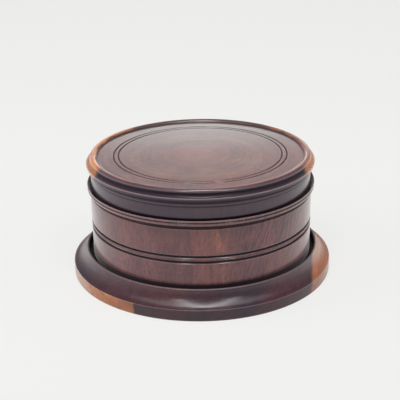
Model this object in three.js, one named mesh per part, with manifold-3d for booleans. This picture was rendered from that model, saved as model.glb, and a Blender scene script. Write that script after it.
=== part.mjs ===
// Turned hardwood holder for dip pens: a round box on a moulded plinth.
// The lid lifts off a drilled block that stands the pens upright round a well for loose nibs.
// Millimetres, +Z up. The origin is the centre of the foot, on the surface that it stands on.
import * as THREE from "three";
import { mergeVertices } from "three/addons/utils/BufferGeometryUtils.js";
import Module from "manifold-3d";

const wasm = await Module();
wasm.setup();

// Driving dimensions
const FOOT_RADIUS = 60;
const WALL_RADIUS = 50.75;
const BORE_RADIUS = 46;
const EDGE_RADIUS = 52.1;
const PLINTH_ARRIS_Z = 5.2;
const PLINTH_RIM_Z = 11.8;
const DRUM_SEAT_Z = 9;
const DRUM_FLOOR_Z = 15;
const LEDGE_Z = 40.8;
const LIP_Z = 42.4;
const LID_RECESS_Z = 54.5;
const TOP_Z = 55.6;
const SOCKET_COUNT = 6;
const SCREW_COUNT = 3;

// Clearances between neighbours
const GLUE = 0.1;
const SLIP = 0.3;
const LID_PLAY = 0.55;
const PLINTH_PLAY = 1.95;

// The lid's skirt stands just inside the line of the drum's wall. The lip flares away from it and
// comes out to the same radius as the edge of the lid.
const SKIRT_RADIUS = WALL_RADIUS - 0.4;
const LIP_ROOT_RADIUS = SKIRT_RADIUS + LID_PLAY;

// How much a sharp turned corner is eased
const EASE = 0.3;

// Turnings that nest have the same facets. The pen block stands clear inside the drum, so it can
// do with half as many.
const FACETS = 48;
const BLOCK_FACETS = FACETS / 2;
const SOCKET_FACETS = 12;
const SCREW_FACETS = 20;

const SOCKET = { radius: 5, circle: 29 };
const WELL = { radius: 14.5, bottomZ: 31 };
const BLOCK = {
  radius: BORE_RADIUS - SLIP,
  baseZ: DRUM_FLOOR_Z + 4,
  shoulderZ: DRUM_FLOOR_Z + 18.8,
  crownRadius: 41.6,
  topZ: 47,
};
const SPIGOT = { outer: BORE_RADIUS - SLIP, inner: 42.6, bottomZ: LEDGE_Z - 6 };
const PAD = { radius: 54.5, bottomZ: 0.2, topZ: 1.4 };
const SCREW = {
  circle: 35,
  headRadius: 4,
  shankRadius: 1.9,
  headZ: 1.9,
  edgeZ: 2.2,
  coneZ: 4,
  taperZ: 11,
  tipZ: 14,
};

const MATERIALS = {
  lid: { color: 0x8a6e68, roughness: 0.28, metalness: 0 },
  drum: { color: 0x7c5553, roughness: 0.3, metalness: 0 },
  plinth: { color: 0x573f42, roughness: 0.28, metalness: 0 },
  block: { color: 0x6b4438, roughness: 0.55, metalness: 0 },
  baize: { color: 0x2f5d3c, roughness: 1, metalness: 0 },
  brass: { color: 0xb08d4f, roughness: 0.35, metalness: 1 },
};

// Points on an elliptical arc in the (radius, height) plane, angles in degrees
function arc(centreR, centreZ, sizeR, sizeZ, from, to, steps) {
  const curve = new THREE.EllipseCurve(
    centreR,
    centreZ,
    sizeR,
    sizeZ,
    THREE.MathUtils.degToRad(from),
    THREE.MathUtils.degToRad(to),
    to < from,
  );
  return curve.getPoints(steps).map((point) => [point.x, point.y]);
}

// A V-shaped groove cut into an upright face
function wallGroove(radius, z, width, depth) {
  return [
    [radius, z - width / 2],
    [radius - depth, z],
    [radius, z + width / 2],
  ];
}

// A V-shaped ring cut into a level face, outer edge first
function faceGroove(radius, z, width, depth) {
  return [
    [radius + width / 2, z],
    [radius, z - depth],
    [radius - width / 2, z],
  ];
}

// Spins a profile of (radius, height) points about the upright axis
function turned(profile, facets = FACETS) {
  const points = profile.map(([radius, z]) => new THREE.Vector2(radius, z));
  return new THREE.LatheGeometry(points, facets).rotateX(Math.PI / 2);
}

function toSolid(geometry) {
  const bare = geometry.clone();
  bare.deleteAttribute("normal");
  bare.deleteAttribute("uv");
  const merged = mergeVertices(bare);
  const mesh = new wasm.Mesh({
    numProp: 3,
    vertProperties: new Float32Array(merged.attributes.position.array),
    triVerts: new Uint32Array(merged.index.array),
  });
  return new wasm.Manifold(mesh);
}

function toGeometry(solid) {
  const mesh = solid.getMesh();
  const geometry = new THREE.BufferGeometry();
  geometry.setAttribute("position", new THREE.BufferAttribute(mesh.vertProperties, 3));
  geometry.setIndex(new THREE.BufferAttribute(mesh.triVerts, 1));
  geometry.computeVertexNormals();
  return geometry;
}

// Cuts each tool geometry out of the body geometry
function cutAway(body, tools) {
  const solid = tools.reduce((rest, tool) => rest.subtract(toSolid(tool)), toSolid(body));
  return toGeometry(solid);
}

// The same geometry repeated round the axis, on a circle
function ringOf(count, circle, make) {
  return Array.from({ length: count }, (_, i) => {
    const angle = (2 * Math.PI * i) / count;
    return make().translate(circle * Math.cos(angle), circle * Math.sin(angle), 0);
  });
}

function disc(radius, bottomZ, topZ, facets) {
  const profile = [
    [0, bottomZ],
    [radius, bottomZ],
    [radius, topZ],
    [0, topZ],
  ];
  return turned(profile, facets);
}

// Outline of a countersunk screw, grown by a clearance where it is used to cut its own hole
function screwOutline(grow) {
  const head = SCREW.headRadius + grow;
  const shank = SCREW.shankRadius + grow;
  return [
    [0, SCREW.headZ - grow],
    [head, SCREW.headZ - grow],
    [head, SCREW.edgeZ],
    [shank, SCREW.coneZ],
    [shank, SCREW.taperZ],
    [0, SCREW.tipZ + grow],
  ];
}

function screwHoles() {
  return ringOf(SCREW_COUNT, SCREW.circle, () => turned(screwOutline(SLIP), SCREW_FACETS));
}

function plinthGeometry() {
  const recess = { radius: PAD.radius + 0.5, z: PAD.topZ + SLIP };
  const seatRadius = WALL_RADIUS + PLINTH_PLAY;
  const rimRadius = 53.8;
  // The hollow is a wide arc that tightens into a smaller one just above the arris
  const wide = { centreR: 61.6, centreZ: 12.3, radius: 7.6 };
  const tight = { centreR: 60, centreZ: 9.51, radius: 4.4 };
  const profile = [
    [0, recess.z],
    [recess.radius, recess.z],
    [recess.radius, 0],
    [FOOT_RADIUS - EASE, 0],
    [FOOT_RADIUS, EASE],
    [FOOT_RADIUS, PLINTH_ARRIS_Z],
    ...arc(tight.centreR, tight.centreZ, tight.radius, tight.radius, 267, 240, 2),
    ...arc(wide.centreR, wide.centreZ, wide.radius, wide.radius, 232, 189, 5),
    [rimRadius, PLINTH_RIM_Z],
    [seatRadius + EASE, PLINTH_RIM_Z],
    [seatRadius, PLINTH_RIM_Z - EASE],
    [seatRadius, DRUM_SEAT_Z],
    [0, DRUM_SEAT_Z],
  ];
  return cutAway(turned(profile), screwHoles());
}

function drumGeometry() {
  const bead = { radius: 0.85, centreR: EDGE_RADIUS - 0.85, z: LIP_Z - 1.75 };
  const lipBottomZ = LIP_Z - 0.8;
  const quirk = { radius: WALL_RADIUS - 0.5, bottomZ: LIP_Z - 4, topZ: LIP_Z - 2.9 };
  const grooves = { width: 1.5, depth: 0.8, lowZ: 22.95, highZ: 25.45 };
  const profile = [
    [0, DRUM_SEAT_Z],
    [WALL_RADIUS - EASE, DRUM_SEAT_Z],
    [WALL_RADIUS, DRUM_SEAT_Z + EASE],
    ...wallGroove(WALL_RADIUS, grooves.lowZ, grooves.width, grooves.depth),
    ...wallGroove(WALL_RADIUS, grooves.highZ, grooves.width, grooves.depth),
    [WALL_RADIUS, quirk.bottomZ - 0.5],
    [quirk.radius, quirk.bottomZ],
    [quirk.radius, quirk.topZ],
    ...arc(bead.centreR, bead.z, bead.radius, bead.radius, -90, 50, 4),
    [EDGE_RADIUS, lipBottomZ],
    [EDGE_RADIUS, LIP_Z - EASE],
    [EDGE_RADIUS - EASE, LIP_Z],
    [LIP_ROOT_RADIUS, LEDGE_Z],
    [BORE_RADIUS, LEDGE_Z],
    [BORE_RADIUS, DRUM_FLOOR_Z],
    [0, DRUM_FLOOR_Z],
  ];
  return cutAway(turned(profile), screwHoles());
}

function lidGeometry() {
  const ceilingZ = LID_RECESS_Z - 6;
  const cornerSize = 1;
  const undercut = { radius: SKIRT_RADIUS - 0.55, bottomZ: 41.9, topZ: 42.9 };
  const fillet = { radius: SKIRT_RADIUS + 0.55, z: 48.7 };
  const ovolo = { width: EDGE_RADIUS - fillet.radius, height: 1.7, topZ: 52 };
  const hollow = { width: 1.75, height: 1.2, bottomZ: 52.4 };
  const rim = { centreR: 48.8, width: 1.6, height: TOP_Z - LID_RECESS_Z, footRadius: 46.4 };
  const quirk = { radius: 50.1, z: 53.75 };
  const rings = { outer: 39.5, inner: 37.3, width: 0.8, depth: 0.5 };
  const profile = [
    [0, ceilingZ],
    [SPIGOT.inner - cornerSize, ceilingZ],
    [SPIGOT.inner, ceilingZ - cornerSize],
    [SPIGOT.inner, SPIGOT.bottomZ],
    [SPIGOT.outer - EASE, SPIGOT.bottomZ],
    [SPIGOT.outer, SPIGOT.bottomZ + EASE],
    [SPIGOT.outer, LEDGE_Z],
    [undercut.radius, LEDGE_Z],
    [undercut.radius, undercut.bottomZ],
    [SKIRT_RADIUS, undercut.topZ],
    [SKIRT_RADIUS, fillet.z - 2 * EASE],
    [fillet.radius, fillet.z],
    ...arc(fillet.radius, ovolo.topZ, ovolo.width, ovolo.height, -90, 0, 3),
    ...arc(EDGE_RADIUS, hollow.bottomZ + hollow.height, hollow.width, hollow.height, 270, 180, 3),
    [quirk.radius, quirk.z],
    ...arc(rim.centreR, LID_RECESS_Z, rim.width, rim.height, 0, 165, 6),
    [rim.footRadius, LID_RECESS_Z],
    ...faceGroove(rings.outer, LID_RECESS_Z, rings.width, rings.depth),
    ...faceGroove(rings.inner, LID_RECESS_Z, rings.width, rings.depth),
    [0, LID_RECESS_Z],
  ];
  return turned(profile);
}

// The pen block is glued up from a base, a core under the nib well, and wedges round the core that
// meet in the middle of the sockets
function blockBaseGeometry() {
  return disc(BLOCK.radius, DRUM_FLOOR_Z, BLOCK.baseZ, BLOCK_FACETS);
}

function blockCoreGeometry() {
  return disc(WELL.radius - GLUE, BLOCK.baseZ, WELL.bottomZ, BLOCK_FACETS);
}

function drilledRing() {
  const ease = 1;
  const profile = [
    [WELL.radius, BLOCK.baseZ],
    [BLOCK.radius, BLOCK.baseZ],
    [BLOCK.radius, BLOCK.shoulderZ],
    [BLOCK.crownRadius, BLOCK.shoulderZ],
    [BLOCK.crownRadius, BLOCK.topZ - ease],
    [BLOCK.crownRadius - ease, BLOCK.topZ],
    [WELL.radius + ease, BLOCK.topZ],
    [WELL.radius, BLOCK.topZ - ease],
    [WELL.radius, BLOCK.baseZ],
  ];
  const sockets = ringOf(SOCKET_COUNT, SOCKET.circle, () =>
    disc(SOCKET.radius, BLOCK.baseZ - 1, BLOCK.topZ + 1, SOCKET_FACETS),
  );
  return cutAway(turned(profile, BLOCK_FACETS), sockets);
}

// The space between two neighbouring sockets, drawn in from each by half a line of glue
function wedgeSpace(index) {
  const span = (2 * Math.PI) / SOCKET_COUNT;
  const reach = 2 * BLOCK.radius;
  const inset = GLUE / 2 / Math.sin(span / 2);
  const outline = new THREE.Shape([
    new THREE.Vector2(0, 0),
    new THREE.Vector2(reach, 0),
    new THREE.Vector2(reach * Math.cos(span), reach * Math.sin(span)),
  ]);
  return new THREE.ExtrudeGeometry(outline, { depth: BLOCK.topZ + 1, bevelEnabled: false })
    .translate(inset * Math.cos(span / 2), inset * Math.sin(span / 2), 0)
    .rotateZ(index * span);
}

function blockWedges() {
  const ring = toSolid(drilledRing());
  return Array.from({ length: SOCKET_COUNT }, (_, i) =>
    toGeometry(ring.intersect(toSolid(wedgeSpace(i)))),
  );
}

function baizePadGeometry() {
  return disc(PAD.radius, PAD.bottomZ, PAD.topZ, FACETS);
}

function screwGeometry() {
  const slot = { length: 2 * SCREW.headRadius + 2, width: 1, depth: 0.6 };
  const cutter = new THREE.BoxGeometry(slot.length, slot.width, 2 * slot.depth);
  cutter.translate(0, 0, SCREW.headZ);
  return cutAway(turned(screwOutline(0), SCREW_FACETS), [cutter]);
}

function part(name, geometry, finish) {
  const mesh = new THREE.Mesh(geometry, new THREE.MeshStandardMaterial(finish));
  mesh.name = name;
  return mesh;
}

const holder = new THREE.Group();
holder.add(part("plinth", plinthGeometry(), MATERIALS.plinth));
holder.add(part("drum", drumGeometry(), MATERIALS.drum));
holder.add(part("lid", lidGeometry(), MATERIALS.lid));
holder.add(part("pen_block_base", blockBaseGeometry(), MATERIALS.block));
holder.add(part("pen_block_core", blockCoreGeometry(), MATERIALS.block));
blockWedges().forEach((geometry, i) => {
  holder.add(part(`pen_block_wedge_${i + 1}`, geometry, MATERIALS.block));
});
holder.add(part("baize_pad", baizePadGeometry(), MATERIALS.baize));
ringOf(SCREW_COUNT, SCREW.circle, screwGeometry).forEach((geometry, i) => {
  holder.add(part(`plinth_screw_${i + 1}`, geometry, MATERIALS.brass));
});

export default holder;
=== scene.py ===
"""The looks of a turned rosewood holder for dip pens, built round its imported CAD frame. Metres, +Z up."""
import math

import bpy
import numpy as np
from mathutils import Matrix, Vector


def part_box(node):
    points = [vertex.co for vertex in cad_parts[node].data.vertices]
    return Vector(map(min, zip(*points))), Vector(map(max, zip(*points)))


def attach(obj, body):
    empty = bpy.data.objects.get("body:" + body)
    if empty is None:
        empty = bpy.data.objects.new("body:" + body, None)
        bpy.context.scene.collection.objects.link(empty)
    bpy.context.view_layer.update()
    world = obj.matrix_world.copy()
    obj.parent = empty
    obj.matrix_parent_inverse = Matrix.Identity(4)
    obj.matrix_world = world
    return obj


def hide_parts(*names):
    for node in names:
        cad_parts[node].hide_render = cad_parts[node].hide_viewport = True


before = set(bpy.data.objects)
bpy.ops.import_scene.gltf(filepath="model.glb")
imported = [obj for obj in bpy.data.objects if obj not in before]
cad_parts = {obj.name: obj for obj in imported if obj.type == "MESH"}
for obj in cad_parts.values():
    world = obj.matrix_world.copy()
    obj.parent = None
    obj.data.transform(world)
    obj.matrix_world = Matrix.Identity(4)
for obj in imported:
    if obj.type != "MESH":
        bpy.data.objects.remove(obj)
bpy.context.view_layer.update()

MM = 0.001
SIDES = 256          # facets round every fine turning
HOLE_SIDES = 64      # facets round a drilled hole
ARC_STEP = 10        # degrees between points on a rounded corner
FOOT_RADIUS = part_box("plinth")[1].x
WEDGES = 6           # that the pen block is glued up from, with a socket on each joint

# Millimetres, as are the outlines below: a radius, or a height over the surface that the holder stands on
EDGE = 52.1          # radius of the arris of the lid and of the lip of the drum
SOCKET_CIRCLE = 29   # radius of the circle that the sockets are drilled on
SEAT = 9             # height of the drum's underside in the plinth
DRUM_FLOOR = 15      # height that the pen block stands at
BLOCK_TOP = 47
LEDGE = 40.8         # height in the drum that the lid's skirt stands at
LID_TOP = 54.5       # height of the lid's level field


# ---------------------------------------------------------------- turned shapes

def arc(centre_r, centre_z, size_r, size_z, start, end, steps):
    """Points on an elliptical arc in the (radius, height) plane, angles in degrees."""
    angles = np.radians(np.linspace(start, end, steps + 1))
    return [(centre_r + size_r * math.cos(a), centre_z + size_z * math.sin(a)) for a in angles]


def v_groove(radius, z, width, depth):
    """A V cut into an upright face, from below upwards."""
    lip, root = 0.15, 0.08
    return [(radius, z - width / 2, lip), (radius - depth, z, root), (radius, z + width / 2, lip)]


def v_ring(radius, z, width, depth):
    """A V cut into a level face, from outside inwards."""
    lip, root = 0.1, 0.06
    return [(radius + width / 2, z, lip), (radius, z - depth, root), (radius - width / 2, z, lip)]


def rounded(corners):
    """The outline with each corner (radius, height, rounding) turned on a small arc."""
    points = []
    for i, corner in enumerate(corners):
        here = np.array(corner[:2], float)
        size = corner[2] if len(corner) > 2 else 0
        if not size:
            points.append(here)
            continue
        back = np.array(corners[i - 1][:2], float) - here
        ahead = np.array(corners[i + 1][:2], float) - here
        room = 0.45 * min(np.linalg.norm(back), np.linalg.norm(ahead))
        back, ahead = back / np.linalg.norm(back), ahead / np.linalg.norm(ahead)
        inside = math.acos(max(-1, min(1, float(back @ ahead))))
        reach = min(size / math.tan(inside / 2), room)
        radius = reach * math.tan(inside / 2)
        middle = here + (back + ahead) / np.linalg.norm(back + ahead) * radius / math.sin(inside / 2)
        first, last = here + back * reach - middle, here + ahead * reach - middle
        steps = max(2, round(math.degrees(math.pi - inside) / ARC_STEP))
        sweep = math.atan2(first[0] * last[1] - first[1] * last[0], first @ last)
        for k in range(steps + 1):
            c, s = math.cos(sweep * k / steps), math.sin(sweep * k / steps)
            points.append(middle + np.array([c * first[0] - s * first[1], s * first[0] + c * first[1]]))
    return np.array(points)


def filled_in(points):
    """The outline with more points on its long straight stretches, close to their ends and between."""
    near_end, widest = 0.6, 5
    result = [points[0]]
    for here, there in zip(points[:-1], points[1:]):
        length = np.linalg.norm(there - here)
        if length > 3 * near_end:
            count = math.ceil((length - 2 * near_end) / widest)
            marks = near_end + (length - 2 * near_end) * np.arange(count + 1) / count
            result += [here + (there - here) * mark / length for mark in marks]
        result.append(there)
    return np.array(result)


def smooth_normals(points):
    """For each stretch of an outline, the outward normals at its two ends."""
    sharp = math.cos(math.radians(35))
    along = np.diff(points, axis=0)
    length = np.linalg.norm(along, axis=1)
    flat = np.stack([along[:, 1], -along[:, 0]], axis=1) / length[:, None]
    starts, ends = flat.copy(), flat.copy()
    for i in range(1, len(flat)):
        if flat[i - 1] @ flat[i] > sharp:
            joint = flat[i - 1] * length[i - 1] + flat[i] * length[i]
            starts[i] = ends[i - 1] = joint / np.linalg.norm(joint)
    return starts, ends


def bends(points):
    """How hollow and how proud the outline is at each point, 0 to 1, felt over a short reach."""
    reach, full = 0.55, math.radians(55)
    step = np.diff(points, axis=0)
    heading = np.unwrap(np.arctan2(step[:, 1], step[:, 0]))
    turn = np.zeros(len(points))
    turn[1:-1] = np.diff(heading)
    at = np.concatenate([[0], np.cumsum(np.linalg.norm(step, axis=1))])
    near = np.clip(1 - np.abs(at[:, None] - at[None, :]) / reach, 0, 1)
    total = near @ turn / full
    return np.clip(-total, 0, 1), np.clip(total, 0, 1), at


def turning(name, corners, sides=SIDES):
    """A solid of revolution from an outline in millimetres that starts and ends on the axis."""
    points = filled_in(rounded(corners))
    starts, ends = smooth_normals(points)
    hollow, proud, at = bends(points)
    angles = 2 * math.pi * np.arange(sides) / sides
    ring_xy = np.stack([np.cos(angles), np.sin(angles)], axis=1)
    verts, rings, marks = [], [], []
    for i, (radius, z) in enumerate(points):
        count = 1 if radius < 1e-6 else sides
        rings.append(list(range(len(verts), len(verts) + count)))
        verts += [(radius * x * MM, radius * y * MM, z * MM) for x, y in ring_xy[:count]]
        marks += [(hollow[i], proud[i], at[i])] * count
    faces, normals = [], []
    for i in range(len(points) - 1):
        low, high = rings[i], rings[i + 1]
        if len(low) == 1 and len(high) == 1:
            continue
        for j in range(sides):
            k = (j + 1) % sides
            face, ends_of = [], []
            for ring, column, side in ((low, j, starts[i]), (low, k, starts[i]),
                                       (high, k, ends[i]), (high, j, ends[i])):
                vertex = ring[column % len(ring)]
                if vertex in face:
                    continue
                face.append(vertex)
                x, y = ring_xy[column]
                ends_of.append((side[0] * x, side[0] * y, side[1]))
            faces.append(face)
            normals += ends_of
    mesh = bpy.data.meshes.new(name)
    mesh.from_pydata(verts, [], faces)
    for key, label in enumerate(("hollow", "proud", "along")):
        values = np.array([m[key] for m in marks], np.float32)
        mesh.attributes.new(label, "FLOAT", "POINT").data.foreach_set("value", values)
    mesh.shade_smooth()
    mesh.normals_split_custom_set(normals)
    piece = bpy.data.objects.new(name, mesh)
    bpy.context.scene.collection.objects.link(piece)
    return piece


def plinth_outline():
    return [
        (0, 1.7), (55, 1.7, 0.1), (55, 0, 0.25), (60, 0, 0.15), (60, 5.2, 0.12),
        *arc(60, 9.51, 4.4, 4.4, 267, 241, 8),
        *arc(61.6, 12.3, 7.6, 7.6, 240, 189, 24),
        (53.8, 11.8, 0.3), (53, 11.8, 0.2), (52.7, 11.4, 0.1), (52.7, SEAT, 0.1), (0, SEAT),
    ]


def drum_outline():
    wall = 50.75
    return [
        (0, SEAT), (wall, SEAT, 0.3),
        *v_groove(wall, 22.95, 1.6, 0.8),
        *arc(50.1, 24.23, 0.7, 0.5, -40, 40, 8),
        *v_groove(wall, 25.45, 1.5, 0.8),
        (wall, 37.95, 0.2), (wall - 0.5, 38.4, 0.1), (wall - 0.5, 39.5, 0.1),
        *arc(51.25, 40.65, 0.85, 0.85, -90, 50, 12),
        (51.75, 41.5, 0.05), (EDGE, 41.7, 0.12), (EDGE, 42.4, 0.22), (EDGE - 0.35, 42.4, 0.15),
        (50.9, LEDGE, 0.1), (46, LEDGE, 0.25), (46, DRUM_FLOOR, 0.1), (0, DRUM_FLOOR),
    ]


def lid_outline():
    skirt, fillet = 50.35, 50.9
    return [
        (0, 48.5), (42.6, 48.5, 1.6), (42.6, 34.8, 0.4), (45.7, 34.8, 0.5), (45.7, LEDGE, 0.1),
        (skirt - 0.55, LEDGE, 0.1), (skirt - 0.55, 41.9, 0.3), (skirt, 42.9, 0.25),
        (skirt, 48.2, 0.5), (fillet, 48.7, 0.2), (fillet, 50.3, 0.12),
        *arc(fillet, 52, EDGE - fillet, 1.7, -80, -6, 10), (EDGE, 52, 0.1), (EDGE, 52.4, 0.14),
        *arc(EDGE, 53.6, 1.75, 1.2, 262, 184, 14),
        (50.3, 53.65, 0.05), (50.05, 53.75, 0.1), (50.4, 54, 0.15),
        *arc(48.8, LID_TOP, 1.6, 1.1, 0, 165, 22),
        (46.9, 54.55, 0.3), (46.4, LID_TOP, 0.4),
        *v_ring(39.5, LID_TOP, 0.8, 0.5),
        *v_ring(37.3, LID_TOP, 0.8, 0.5),
        (0, LID_TOP),
    ]


def pen_block_outline():
    return [
        (0, DRUM_FLOOR), (45.7, DRUM_FLOOR, 0.2), (45.7, 33.8, 0.6), (41.6, 33.8, 0.2), (41.6, BLOCK_TOP, 1),
        *v_ring(SOCKET_CIRCLE, BLOCK_TOP, 0.35, 0.2),
        (15.4, BLOCK_TOP, 0.8), (14.5, 46, 0.3), (14.5, 31, 2.5), (0, 31),
    ]


def socket_outline():
    """What is drilled away for a pen: a flat-bottomed hole with a small countersink, up past the block."""
    radius, bottom, mouth, above = 5, 19, 5.7, BLOCK_TOP + 1
    return [
        (0, bottom), (radius, bottom, 0.6), (radius, 46.2, 0.3), (mouth, 47.1, 0), (mouth, above), (0, above),
    ]


def baize_outline():
    radius, bottom, top = 54.5, 0.2, 1.4
    return [(0, bottom), (radius, bottom, 0.3), (radius, top, 0.3), (0, top)]


def drilled(piece, centres, cutter_corners):
    """Drills the same hole, a turning's outline, at each centre."""
    cutters = []
    for x, y in centres:
        cutter = turning("cutter", cutter_corners, HOLE_SIDES)
        cutter.data.transform(Matrix.Translation((x * MM, y * MM, 0)))
        cut = piece.modifiers.new("drill", "BOOLEAN")
        cut.operation = "DIFFERENCE"
        cut.solver = "EXACT"
        cut.object = cutter
        cutters.append(cutter)
    even = piece.modifiers.new("even_normals", "WEIGHTED_NORMAL")
    even.keep_sharp = True
    settled = piece.evaluated_get(bpy.context.evaluated_depsgraph_get())
    mesh = bpy.data.meshes.new_from_object(settled)
    piece.modifiers.clear()
    old = piece.data
    piece.data = mesh
    mesh.name = piece.name
    bpy.data.meshes.remove(old)
    for cutter in cutters:
        bpy.data.meshes.remove(cutter.data)
    return piece


def circle_of(count, radius):
    """Places spaced evenly round a circle, the first of them to the right."""
    angles = [2 * math.pi * i / count for i in range(count)]
    return [(radius * math.cos(a), radius * math.sin(a)) for a in angles]


# ---------------------------------------------------------------- materials

class Graph:
    """Builds a material's nodes: every method returns the socket it makes."""

    def __init__(self, name):
        self.material = bpy.data.materials.new(name)
        self.material.use_nodes = True
        self.tree = self.material.node_tree
        self.shader = self.tree.nodes["Principled BSDF"]

    def put(self, socket, value):
        if isinstance(value, bpy.types.NodeSocket):
            self.tree.links.new(value, socket)
        elif value is not None:
            socket.default_value = value

    def node(self, kind, **settings):
        made = self.tree.nodes.new(kind)
        for key, value in settings.items():
            setattr(made, key, value)
        return made

    def math(self, operation, a, b=None, c=None, clamp=False):
        made = self.node("ShaderNodeMath", operation=operation, use_clamp=clamp)
        for socket, value in zip(made.inputs, (a, b, c)):
            self.put(socket, value)
        return made.outputs[0]

    def vector(self, operation, a, b=None, scale=None):
        made = self.node("ShaderNodeVectorMath", operation=operation)
        self.put(made.inputs[0], a)
        self.put(made.inputs[1], b)
        if scale is not None:
            self.put(made.inputs["Scale"], scale)
        return made.outputs["Value" if operation in ("LENGTH", "DOT_PRODUCT") else "Vector"]

    def parts(self, vector):
        made = self.node("ShaderNodeSeparateXYZ")
        self.put(made.inputs[0], vector)
        return tuple(made.outputs)

    def join(self, x, y, z):
        made = self.node("ShaderNodeCombineXYZ")
        for socket, value in zip(made.inputs, (x, y, z)):
            self.put(socket, value)
        return made.outputs[0]

    def mix(self, amount, a, b, blend="MIX"):
        made = self.node("ShaderNodeMix", data_type="RGBA", blend_type=blend)
        self.put(made.inputs["Factor"], amount)
        self.put(made.inputs[6], a)
        self.put(made.inputs[7], b)
        return made.outputs[2]

    def fade(self, value, low, high, to_low=0.0, to_high=1.0):
        """A smooth step from to_low to to_high as value goes from low to high."""
        made = self.node("ShaderNodeMapRange", interpolation_type="SMOOTHSTEP")
        for key, v in (("Value", value), ("From Min", low), ("From Max", high),
                       ("To Min", to_low), ("To Max", to_high)):
            self.put(made.inputs[key], v)
        return made.outputs["Result"]

    def noise(self, vector, detail=2.0, roughness=0.5, distortion=0.0):
        made = self.node("ShaderNodeTexNoise", noise_dimensions="3D")
        self.put(made.inputs["Vector"], vector)
        for key, v in (("Scale", 1.0), ("Detail", detail), ("Roughness", roughness),
                       ("Distortion", distortion)):
            self.put(made.inputs[key], v)
        return made.outputs["Fac"]

    def noise_along(self, value, detail=2.0, roughness=0.5):
        made = self.node("ShaderNodeTexNoise", noise_dimensions="1D")
        self.put(made.inputs["W"], value)
        for key, v in (("Scale", 1.0), ("Detail", detail), ("Roughness", roughness)):
            self.put(made.inputs[key], v)
        return made.outputs["Fac"]

    def attribute(self, name):
        return self.node("ShaderNodeAttribute", attribute_name=name).outputs["Fac"]

    def place(self):
        """Where the point is on its piece, in millimetres."""
        coordinates = self.node("ShaderNodeTexCoord").outputs["Object"]
        return self.vector("SCALE", coordinates, scale=1 / MM)

    def bump(self, height, strength, distance_mm, below=None):
        made = self.node("ShaderNodeBump")
        self.put(made.inputs["Height"], height)
        self.put(made.inputs["Strength"], strength)
        self.put(made.inputs["Distance"], distance_mm * MM)
        if below is not None:
            self.put(made.inputs["Normal"], below)
        return made.outputs["Normal"]

    def finish(self, **sockets):
        for key, value in sockets.items():
            self.put(self.shader.inputs[key.replace("_", " ").title().replace("Ior", "IOR")], value)
        return self.material


def rgb(red, green, blue):
    return (red, green, blue, 1.0)


class Wood:
    """A wood's figure as sockets: where the point is, and the patterns that its colour is mixed from."""

    def __init__(self, g, pith, waver, ring_mm, plank=False, skew=0.0):
        self.place = g.place()
        self.x, self.y, self.z = g.parts(self.place)
        self.radius = g.vector("LENGTH", g.vector("MULTIPLY", self.place, (1, 1, 0)))
        if plank:
            self.across = g.math("MULTIPLY_ADD", self.y, -skew, self.x)
            log = g.join(self.across, self.z, self.y)
        else:
            self.across = self.x
            log = self.place
        self.broad = g.noise(g.vector("MULTIPLY", log, (0.035, 0.035, 0.012)), 2, 0.5, 0.6)
        self.figure = g.noise(g.vector("MULTIPLY", log, (0.11, 0.11, 0.02)), 3, 0.55, 0.4)
        self.wander = g.math("SUBTRACT", self.figure, 0.5)
        centre_line = g.vector("SUBTRACT", log, (pith[0], pith[1], 0))
        from_pith = g.vector("LENGTH", g.vector("MULTIPLY", centre_line, (1, 1, 0)))
        self.from_pith = g.math("MULTIPLY_ADD", self.wander, waver, from_pith)
        self.rings = g.noise_along(g.math("DIVIDE", self.from_pith, ring_mm), 3, 0.65)
        self.bands = g.noise_along(g.math("DIVIDE", self.from_pith, 6 * ring_mm), 2, 0.5)
        curl = g.math("MULTIPLY", g.math("SUBTRACT", g.noise(g.vector("SCALE", log, scale=0.06)), 0.5), 14)
        curled = g.vector("ADD", log, g.join(curl, curl, 0.0))
        self.mottle = g.noise(g.vector("MULTIPLY", curled, (0.32, 0.32, 0.13)), 3, 0.6)
        self.fibre = g.noise(g.vector("MULTIPLY", curled, (0.9, 0.9, 0.06)), 3, 0.6)
        self.fine = g.noise(g.vector("MULTIPLY", curled, (3.2, 3.2, 0.4)), 2, 0.6)
        self.pores = g.fade(g.noise(g.vector("MULTIPLY", curled, (2.6, 2.6, 0.2)), 1, 0.4), 0.63, 0.74)
        travel = g.math("MULTIPLY", g.attribute("along"), 0.75)
        self.marks = g.noise(g.join(travel, g.math("MULTIPLY", self.x, 0.035),
                                    g.math("MULTIPLY", self.y, 0.035)), 4, 0.7)


def patch(g, wood, direction, half_angle, start_mm, soft_mm):
    """Sapwood beyond start_mm from the axis, within half_angle of a direction in degrees."""
    way = (math.cos(math.radians(direction)), math.sin(math.radians(direction)), 0)
    flat = g.vector("MULTIPLY", wood.place, (1, 1, 0))
    ahead = g.vector("DOT_PRODUCT", g.vector("NORMALIZE", flat), way)
    ahead = g.math("MULTIPLY_ADD", wood.wander, 0.10, ahead)
    edge = math.cos(math.radians(half_angle))
    out = g.math("MULTIPLY_ADD", wood.wander, 2.5, wood.radius)
    beyond = g.fade(out, start_mm, start_mm + soft_mm)
    return g.math("MULTIPLY", g.fade(ahead, edge - 0.03, edge + 0.03), beyond)


def sapwood(g, wood, amount, colour, greyed=0.0, browned=0.0):
    """Orange sapwood, part of it turned a grey tan or browned where it meets the heartwood."""
    pale = g.mix(g.fade(wood.fibre, 0.35, 0.65), rgb(0.50, 0.15, 0.035), rgb(0.60, 0.25, 0.09))
    pale = g.mix(g.fade(wood.figure, 0.5, 0.68, 0, 0.6), pale, rgb(0.36, 0.12, 0.06))
    pale = g.mix(g.fade(wood.rings, 0.38, 0.62, 0.45, 0), pale, rgb(0.22, 0.075, 0.045))
    pale = g.mix(greyed, pale, rgb(0.46, 0.33, 0.25))
    pale = g.mix(browned, pale, rgb(0.30, 0.105, 0.055))
    return g.mix(amount, colour, pale)


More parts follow.
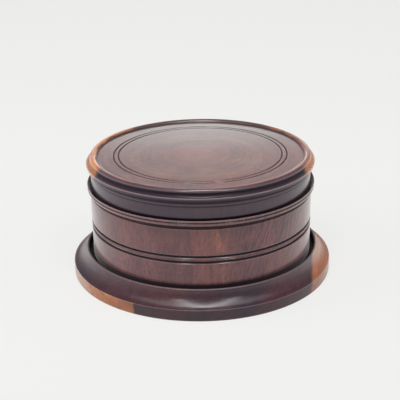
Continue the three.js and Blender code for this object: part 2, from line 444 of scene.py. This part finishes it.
def between(g, value, low, high, soft=0.4):
    """1 where value lies between low and high, fading to 0 over a soft edge outside them."""
    return g.math("MULTIPLY", g.fade(value, low - soft, low), g.fade(value, high + soft, high))


def lid_stain(g, wood, colour):
    """Dark purple down the side of the lid: the wood's own colour on the skirt, painted shade on the rim's
    outer face. Sapwood at its left and right edges, painted shade under the rim, under the edge and at the
    foot of the skirt.
    """
    # Darker purple down the side: the wood's own colour on the skirt, painted shade on the rim's outer face.
    side = g.math("MAXIMUM", g.fade(wood.radius, 49.4, 50.2), g.fade(wood.z, 50, 48))
    colour = g.mix(g.math("MULTIPLY", side, 0.78), colour, rgb(0.024, 0.016, 0.036))
    # Greyer towards the back of the top.
    greyer_behind = g.math("MULTIPLY", g.fade(wood.y, 2, 34, 0, 0.75), g.fade(wood.radius, 49.5, 48.5))
    colour = g.mix(greyer_behind, colour, rgb(0.066, 0.044, 0.043))
    right = g.math("MULTIPLY", patch(g, wood, 10, 36, 47.3, 0.8), g.fade(wood.z, 54.9, 54.2, 0.45, 1))
    sap = g.math("MAXIMUM", patch(g, wood, 170, 36, 47.3, 0.8), right)
    heart = g.math("SUBTRACT", 1, sap)
    core = g.math("MULTIPLY", g.fade(wood.from_pith, 24, 4), 0.5)
    colour = g.mix(core, colour, rgb(0.19, 0.054, 0.046))
    tan = g.math("MULTIPLY", between(g, wood.from_pith, 17, 27, 5), g.fade(wood.broad, 0.44, 0.60))
    tan = g.math("MULTIPLY", tan, g.fade(wood.rings, 0.38, 0.62, 0.15, 0.5))
    colour = g.mix(tan, colour, rgb(0.19, 0.090, 0.055))
    sap = g.math("MULTIPLY", sap, g.fade(wood.z, 50.0, 51.2))
    # Painted shade under the rim, under the lid's edge and at the foot of the skirt, where it goes down
    # beside the drum's lip.
    under_rim = g.math("MULTIPLY", between(g, wood.z, 52.9, 54.2, 0.45), g.fade(wood.radius, 49.8, 50.0))
    under_edge = g.math("MULTIPLY", between(g, wood.z, 50.5, 51.4, 0.2), 0.6)
    overhang_shade = g.math("MAXIMUM", under_rim, under_edge)
    under_shade = g.math("MULTIPLY", overhang_shade, g.math("MULTIPLY_ADD", heart, 0.5, 0.4))
    painted_shade = g.math("MAXIMUM", under_shade, g.fade(wood.z, 43.3, 42.5))
    # Where the arrises get their painted highlight: not round the incised rings, and less down the side.
    edge_highlight_reach = g.math("MULTIPLY", g.fade(wood.radius, 42, 44), g.fade(wood.z, 51, 52, 0.35, 1))
    return sapwood(g, wood, sap, colour), painted_shade, edge_highlight_reach


def drum_stain(g, wood, colour):
    """Fine dark veins and a golden fleck on the drum's front, painted shade up under the lip, and painted
    shade in its channel, quirk, grooves and foot.
    """
    leaning = g.math("MULTIPLY_ADD", wood.z, -0.3, wood.x)
    stretched = g.vector("MULTIPLY", g.join(leaning, wood.y, wood.z), (1.9, 0.15, 0.13))
    veins = g.fade(g.noise(stretched, 2, 0.5), 0.48, 0.56)
    veins = g.math("MULTIPLY", veins, g.fade(wood.x, 12, 20))
    veins = g.math("MULTIPLY", veins, g.fade(wood.y, -14, -26))
    veins = g.math("MULTIPLY", veins, g.fade(wood.z, 20, 30, 0.4, 0.75))
    colour = g.mix(veins, colour, rgb(0.035, 0.018, 0.026))
    across = g.math("MULTIPLY_ADD", wood.z, 0.12, wood.x)
    across = g.math("MULTIPLY_ADD", wood.wander, 8, across)
    fleck = g.fade(g.math("ABSOLUTE", g.math("SUBTRACT", across, 12)), 0, 3.5, 1, 0)
    fleck = g.math("MULTIPLY", fleck, g.fade(wood.y, -20, -30))
    high_up = g.math("MAXIMUM", between(g, wood.z, 29, 36, 3), g.fade(wood.z, 22, 19, 0, 0.35))
    fleck = g.math("MULTIPLY", g.math("MULTIPLY", fleck, high_up), g.fade(wood.fine, 0.35, 0.6, 0.1, 0.6))
    colour = g.mix(fleck, colour, rgb(0.42, 0.155, 0.075))
    # Painted shade: the wall darkens up towards the lip that overhangs it.
    colour = g.mix(g.fade(wood.z, 30, 38, 0, 0.25), colour, rgb(0.05, 0.025, 0.03))
    # Painted shade in the channel inside the lip, the quirk under the bead, the grooves, and the foot where
    # the drum stands in the plinth.
    channel = g.math("MULTIPLY", g.fade(wood.radius, 52.0, 51.7), g.fade(wood.z, 40.4, 40.8))
    quirk = g.math("MULTIPLY", between(g, wood.z, 38.2, 39.5, 0.15), 0.45)
    grooves = g.math("MULTIPLY", g.fade(wood.radius, 50.7, 50.4), between(g, wood.z, 22, 27, 1))
    painted_shade = g.math("MAXIMUM", g.math("MAXIMUM", channel, grooves), quirk)
    return colour, g.math("MAXIMUM", painted_shade, g.fade(wood.z, 13, 12)), 1.0


def plinth_stain(g, wood, colour):
    """Sapwood along two sides of the plank, and painted shade in the drum's seat and on the upright band of
    the foot.
    """
    out = g.math("MULTIPLY_ADD", wood.wander, 4, wood.across)
    right = g.fade(out, 52.7, 54)
    left = g.math("MULTIPLY", g.fade(out, -22, -23), g.fade(wood.radius, 59.8, 59.9))
    # Grey tan towards the far left end, and a painted sheen higher up the cavetto.
    greyed = g.math("MAXIMUM", g.fade(out, -44, -50, 0, 0.6), g.fade(wood.z, 7, 11, 0, 0.35))
    low_right = g.math("MULTIPLY", g.fade(out, 20, 30), g.fade(wood.z, 7.5, 5.5))
    browned = g.math("MAXIMUM", g.fade(out, -40, -26, 0, 0.5), g.math("MULTIPLY", low_right, 0.6))
    colour = sapwood(g, wood, g.math("MAXIMUM", left, right), colour, greyed, browned)
    # Painted shade in the seat that the drum stands in, and on the upright band of the foot, which loses some
    # of its polish there too.
    seat = g.math("MULTIPLY", g.fade(wood.radius, 53.6, 53.2), g.fade(wood.z, 5, 6))
    foot_shade = g.math("MULTIPLY", g.fade(wood.radius, 59.5, 59.9), g.fade(wood.z, 5.3, 4.9, 0, 0.3))
    return colour, g.math("MAXIMUM", seat, foot_shade), 1.0


def plain(g, wood, colour):
    """No stain: no painted shade, and the painted highlight on every arris."""
    return colour, 0.0, 1.0


def rosewood(name, wood_shape, look, stain):
    """Waxed rosewood. A stain adds what is peculiar to a piece, and says where shade is painted and where the
    arrises get a painted highlight.
    """
    g = Graph(name)
    wood = Wood(g, **wood_shape)
    colour = g.mix(g.fade(wood.broad, 0.35, 0.65), look["purple"], look["red"])
    colour = g.mix(g.fade(wood.bands, 0.5, 0.7, 0, look["warmth"]), colour, look["warm"])
    dark = g.fade(wood.rings, 0.35, 0.6, look["ring_depth"], 0)
    colour = g.mix(dark, colour, look["dark"])
    tone = g.math("MULTIPLY_ADD", g.math("SUBTRACT", wood.fibre, 0.5), look["fibre"], 1.0)
    tone = g.math("MULTIPLY_ADD", g.math("SUBTRACT", wood.fine, 0.5), look["fine"], tone)
    tone = g.math("MULTIPLY_ADD", g.math("SUBTRACT", wood.marks, 0.5), look["marks"], tone)
    tone = g.math("MULTIPLY_ADD", g.math("SUBTRACT", wood.mottle, 0.5), look["mottle"], tone)
    colour, painted_shade, edge_highlight_reach = stain(g, wood, g.vector("SCALE", colour, scale=tone))
    colour = g.mix(g.math("MULTIPLY", wood.pores, look["pore_depth"]), colour, rgb(0.02, 0.01, 0.01))
    # Dark in the hollows of the outline: painted shade in place of occlusion, with old wax in them, and the
    # stain's painted shade.
    grime_and_shade = g.math("MULTIPLY", g.attribute("hollow"), look["grime_and_shade"])
    grime_and_shade = g.math("MAXIMUM", grime_and_shade, g.math("MULTIPLY", painted_shade, 0.95))
    colour = g.mix(grime_and_shade, colour, rgb(0.018, 0.014, 0.019))
    # Painted highlight: a pale colour along the proud arrises.
    wear_and_edge_highlight = g.math("MULTIPLY", g.fade(g.attribute("proud"), 0.35, 0.95, 0, look["wear"]), edge_highlight_reach)
    colour = g.mix(wear_and_edge_highlight, colour, rgb(0.42, 0.31, 0.30))

    normal = g.bump(wood.marks, look["mark_bump"], 0.06)
    normal = g.bump(g.math("MULTIPLY", wood.pores, -1), 0.25, 0.05, normal)
    # Less coat and reflection under the grime and painted shade.
    clear_of_grime_and_shade = g.math("SUBTRACT", 1, grime_and_shade)
    coat = g.math("MULTIPLY", clear_of_grime_and_shade, look["polish"])
    return g.finish(base_color=colour, roughness=look["roughness"], normal=normal, coat_normal=normal,
                    specular_ior_level=g.math("MULTIPLY", clear_of_grime_and_shade, 0.22),
                    coat_weight=coat, coat_roughness=look["haze"], coat_ior=1.5,
                    sheen_weight=look["bloom"], sheen_roughness=0.35)


ROSEWOOD = {
    "purple": rgb(0.110, 0.042, 0.054), "red": rgb(0.165, 0.056, 0.054), "warm": rgb(0.23, 0.095, 0.060),
    "dark": rgb(0.040, 0.016, 0.022), "ring_depth": 0.45, "warmth": 0.5, "fibre": 0.9, "fine": 0.9,
    "mottle": 0.9, "marks": 0.4, "mark_bump": 0.2, "pore_depth": 0.4, "grime_and_shade": 0.9, "wear": 0.45,
    "roughness": 0.38, "polish": 0.9, "haze": 0.12, "bloom": 0.0,
}


def variety(**changes):
    """The usual look of the rosewood, with some of its values changed."""
    return {**ROSEWOOD, **changes}


def lid_wood():
    shape = {"pith": (-2, -3), "waver": 8, "ring_mm": 3}
    look = variety(purple=rgb(0.108, 0.041, 0.044), red=rgb(0.155, 0.054, 0.050), ring_depth=0.3, warmth=0.35,
                   marks=1.1, mark_bump=0.4, wear=0.4, haze=0.11, bloom=0.11)
    return rosewood("lid_rosewood", shape, look, lid_stain)


def drum_wood():
    shape = {"pith": (9, 11), "waver": 9, "ring_mm": 2.4}
    look = variety(purple=rgb(0.126, 0.043, 0.052), red=rgb(0.162, 0.052, 0.054), warmth=0.35, ring_depth=0.3,
                   fibre=0.8, fine=1.1, wear=0.2, bloom=0.6)
    return rosewood("drum_rosewood", shape, look, drum_stain)


def plinth_wood():
    shape = {"pith": (-8, 40), "waver": 9, "ring_mm": 2.8, "plank": True, "skew": 0.13}
    look = variety(purple=rgb(0.026, 0.017, 0.029), red=rgb(0.062, 0.022, 0.030), warmth=0.2, ring_depth=0.3,
                   fibre=0.8, fine=0.5, haze=0.22, wear=0.22)
    return rosewood("plinth_rosewood", shape, look, plinth_stain)


def block_wood():
    shape = {"pith": (3, -5), "waver": 8, "ring_mm": 2.2}
    look = variety(purple=rgb(0.13, 0.058, 0.045), red=rgb(0.18, 0.075, 0.05), ring_depth=0.5,
                   roughness=0.5, mark_bump=0.4, polish=0.1)
    return rosewood("block_rosewood", shape, look, plain)


def baize():
    g = Graph("green_baize")
    place = g.place()
    wool = g.noise(g.vector("SCALE", place, scale=2.2), 5, 0.7, 0.8)
    nap = g.noise(g.vector("SCALE", place, scale=0.25), 3, 0.5)
    colour = g.mix(g.fade(wool, 0.3, 0.7), rgb(0.012, 0.055, 0.026), rgb(0.045, 0.14, 0.065))
    colour = g.mix(g.fade(nap, 0.45, 0.7, 0, 0.4), colour, rgb(0.02, 0.08, 0.045))
    return g.finish(base_color=colour, roughness=0.95, normal=g.bump(wool, 0.6, 0.25),
                    sheen_weight=0.4, sheen_roughness=0.5)


def brass():
    g = Graph("brass_screw")
    place = g.place()
    wear_and_edge_highlight = g.noise(g.vector("SCALE", place, scale=1.5), 4, 0.6)
    colour = g.mix(g.fade(wear_and_edge_highlight, 0.35, 0.65), rgb(0.42, 0.27, 0.10), rgb(0.66, 0.48, 0.20))
    rough = g.fade(wear_and_edge_highlight, 0.3, 0.7, 0.25, 0.5)
    return g.finish(base_color=colour, roughness=rough, metallic=1.0, normal=g.bump(wear_and_edge_highlight, 0.2, 0.05))


# ---------------------------------------------------------------- pieces

def dress(piece, material, body, slot, *nodes):
    piece.data.materials.clear()
    piece.data.materials.append(material)
    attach(piece, body)
    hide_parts(*nodes)


def add_pieces():
    dress(turning("plinth_turning", plinth_outline()), plinth_wood(), "holder", "polished_rosewood", "plinth")
    dress(turning("drum_turning", drum_outline()), drum_wood(), "holder", "polished_rosewood", "drum")
    dress(turning("lid_turning", lid_outline()), lid_wood(), "lid", "polished_rosewood", "lid")
    block = turning("drilled_pen_block", pen_block_outline())
    drilled(block, circle_of(WEDGES, SOCKET_CIRCLE), socket_outline())
    glued = ["pen_block_base", "pen_block_core", *(f"pen_block_wedge_{i + 1}" for i in range(WEDGES))]
    dress(block, block_wood(), "holder", "oiled_rosewood", *glued)
    pad = turning("baize_round", baize_outline())
    dress(pad, baize(), "holder", "green_baize", "baize_pad")
    metal = brass()
    for name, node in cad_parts.items():
        if name.startswith("plinth_screw"):
            node.data.materials.clear()
            node.data.materials.append(metal)


# ---------------------------------------------------------------- studio

def add_camera():
    """The view of the photograph: from the front, a little above, and almost level."""
    distance = 7.966 * FOOT_RADIUS
    height_angle, down, yaw, roll = (math.radians(a) for a in (25.18, 21.695, 0.06, 0.92))
    forward = Vector((-math.sin(yaw) * math.cos(down), math.cos(yaw) * math.cos(down), -math.sin(down)))
    side = forward.cross(Vector((0, 0, 1))).normalized()
    above = side.cross(forward)
    right = side * math.cos(roll) - above * math.sin(roll)
    up = above * math.cos(roll) + side * math.sin(roll)
    place = Vector((0, -math.cos(height_angle), math.sin(height_angle))) * distance
    data = bpy.data.cameras.new("camera")
    data.lens, data.sensor_width = 90, 36
    camera = bpy.data.objects.new("camera", data)
    turn = Matrix((right, up, -forward)).transposed()
    camera.matrix_world = Matrix.Translation(place) @ turn.to_4x4()
    bpy.context.scene.collection.objects.link(camera)
    bpy.context.scene.camera = camera


def add_softbox(name, place, size, power, mirrored=True):
    """A soft lamp aimed at the piece. Where it is not mirrored it lights the wood but makes no highlight."""
    data = bpy.data.lights.new(name, "AREA")
    data.shape = "RECTANGLE"
    data.size, data.size_y = size
    data.energy = power
    lamp = bpy.data.objects.new(name, data)
    lamp.location = place
    aim = Vector((0, 0, 0.03)) - Vector(place)
    lamp.rotation_euler = aim.to_track_quat("-Z", "Y").to_euler()
    lamp.visible_camera = False
    lamp.visible_glossy = mirrored
    bpy.context.scene.collection.objects.link(lamp)


def add_floor():
    mesh = bpy.data.meshes.new("floor")
    half = 6.0
    corners = [(-half, -half, 0), (half, -half, 0), (half, half, 0), (-half, half, 0)]
    mesh.from_pydata(corners, [], [(0, 1, 2, 3)])
    floor = bpy.data.objects.new("floor", mesh)
    bpy.context.scene.collection.objects.link(floor)
    g = Graph("pale_paper")
    ahead = g.parts(g.place())[1]
    mesh.materials.append(g.finish(base_color=rgb(0.13, 0.13, 0.128), roughness=0.9,
                                   emission_color=rgb(1, 1, 0.985),
                                   emission_strength=g.fade(ahead, -500, 900, 0.675, 0.755)))


SKY = {"front": 0.30, "back": 0.34, "high": 0.5, "low": 0.5, "left": 0.08, "sides": 1.6, "glow": 3.2}


def add_sky():
    """Soft white all round, bright at the horizon and to the sides, with a glow above it straight behind."""
    world = bpy.data.worlds.new("studio")
    world.use_nodes = True
    tree = world.node_tree
    towards = tree.nodes.new("ShaderNodeTexCoord").outputs["Generated"]
    split = tree.nodes.new("ShaderNodeSeparateXYZ")
    tree.links.new(towards, split.inputs[0])
    across, ahead, height = split.outputs

    def ramp(value, low, high, to_low, to_high):
        made = tree.nodes.new("ShaderNodeMapRange")
        made.interpolation_type = "SMOOTHSTEP"
        tree.links.new(value, made.inputs["Value"])
        for key, number in (("From Min", low), ("From Max", high), ("To Min", to_low), ("To Max", to_high)):
            made.inputs[key].default_value = number
        return made.outputs["Result"]

    def both(operation, a, b):
        made = tree.nodes.new("ShaderNodeMath")
        made.operation = operation
        tree.links.new(a, made.inputs[0])
        if isinstance(b, bpy.types.NodeSocket):
            tree.links.new(b, made.inputs[1])
        else:
            made.inputs[1].default_value = b
        return made.outputs[0]

    aside = tree.nodes.new("ShaderNodeMath")
    aside.operation = "ABSOLUTE"
    tree.links.new(across, aside.inputs[0])
    narrow = both("MULTIPLY", ramp(aside.outputs[0], 0.08, 0.35, 1, 0), ramp(ahead, 0.3, 0.8, 0, 1))
    level = both("MULTIPLY", ramp(height, 0.20, 0.26, 0, 1), ramp(height, 0.28, 0.322, 1, 0))
    glow = both("MULTIPLY", both("MULTIPLY", level, narrow), SKY["glow"])
    light = both("MULTIPLY", ramp(ahead, -0.6, 0.6, SKY["front"], SKY["back"]),
                 ramp(across, -0.9, 0.9, 1 + SKY["left"], 1 - SKY["left"]))
    light = both("MULTIPLY", light, ramp(aside.outputs[0], 0.45, 0.95, 1.0, SKY["sides"]))
    light = both("MULTIPLY", light, ramp(height, 0.2, 0.75, 1.0, SKY["high"]))
    light = both("ADD", light, ramp(height, 0.0, 0.2, SKY["low"], 0))
    background = tree.nodes["Background"]
    background.inputs["Color"].default_value = rgb(0.995, 0.99, 0.975)
    tree.links.new(both("ADD", light, glow), background.inputs["Strength"])
    bpy.context.scene.world = world


def add_studio():
    bpy.context.scene.view_settings.view_transform = "Standard"
    add_sky()
    add_softbox("top_left", (-0.09, -0.22, 0.62), (0.09, 0.7), 1.6)
    add_softbox("top_right", (0.135, -0.22, 0.62), (0.09, 0.7), 1.6)
    add_softbox("side_left", (-0.6, -0.05, 0.25), (0.5, 0.4), 2.3, mirrored=False)
    add_softbox("side_right", (0.6, -0.05, 0.25), (0.5, 0.4), 1.1, mirrored=False)
    add_softbox("overhead", (0, -0.15, 0.8), (1.3, 0.35), 1.8)
    add_floor()


add_camera()
add_pieces()
add_studio()
